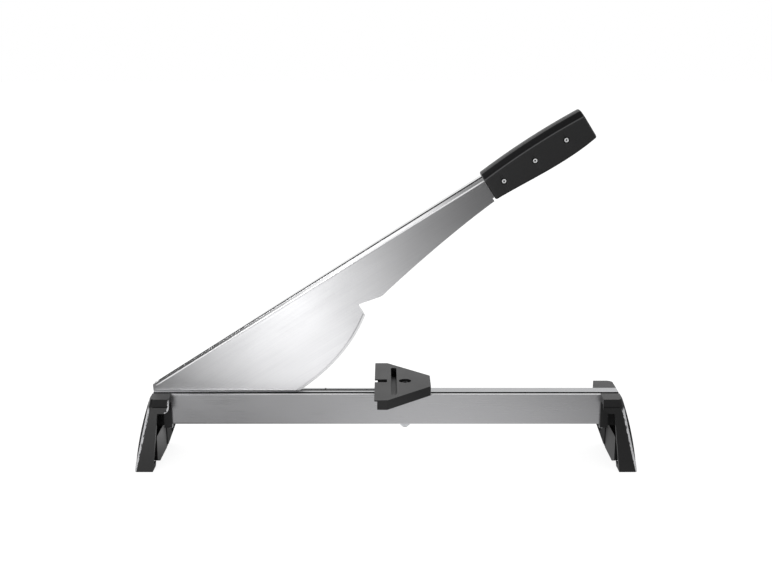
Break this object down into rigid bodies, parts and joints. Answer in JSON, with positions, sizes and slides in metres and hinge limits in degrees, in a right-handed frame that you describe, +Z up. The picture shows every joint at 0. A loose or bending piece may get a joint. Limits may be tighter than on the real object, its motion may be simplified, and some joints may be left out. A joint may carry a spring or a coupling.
{
  "type": "laminate cutter",
  "caption": "Bench guillotine for laminate boards: slotted bed on two feet, hinged lever blade with a handle, and a triangular fence.",
  "frame": {"origin": "on the ground under the middle of the bed, in the plane of the blade", "axes": "+X along the bed towards the handle side, +Y to the back, +Z up"},
  "size_m": [0.5176, 0.126, 0.3674],
  "materials": {
    "foot_plastic": "moulded satin black",
    "bed_steel": "brushed",
    "rail_steel": "satin",
    "fastener_steel": "zinc plated",
    "spacer_plastic": "natural nylon",
    "bush_bronze": "sintered bronze",
    "blade_steel": "brushed along the spine",
    "spine_steel": "polished fold",
    "handle_plastic": "satin black",
    "fence_plastic": "moulded satin black"
  },
  "bodies": {
    "base": {"left_foot": "foot_plastic", "right_foot": "foot_plastic", "bed_rail": "bed_steel", "front_rail": "rail_steel", "front_rail_screws": "fastener_steel", "pivot_bolt": "fastener_steel", "pivot_nut": "fastener_steel", "pivot_washers": "fastener_steel", "pivot_spacers": "spacer_plastic", "cross_bolt": "fastener_steel", "cross_nut": "fastener_steel", "cross_washers": "fastener_steel", "cross_sleeve": "fastener_steel", "fence_screw": "fastener_steel", "fence_plate": "fastener_steel", "fence_nut": "fastener_steel"},
    "arm": {"blade": "blade_steel", "spine": "spine_steel", "pivot_bush": "bush_bronze", "handle_front": "handle_plastic", "handle_rear": "handle_plastic", "handle_screws": "fastener_steel", "handle_nuts": "fastener_steel"},
    "fence": {"fence": "fence_plastic"}
  },
  "joints": [
    {"name": "arm_hinge", "type": "hinge", "parent": "base", "child": "arm", "pos_m": [-0.236, 0, 0.062], "axis": [0, 1, 0], "range_deg": [-27.5, 21]},
    {"name": "fence_swivel", "type": "hinge", "parent": "base", "child": "fence", "pos_m": [0.02, 0, 0.075], "axis": [0, 0, 1], "range_deg": [-5, 5]}
  ]
}
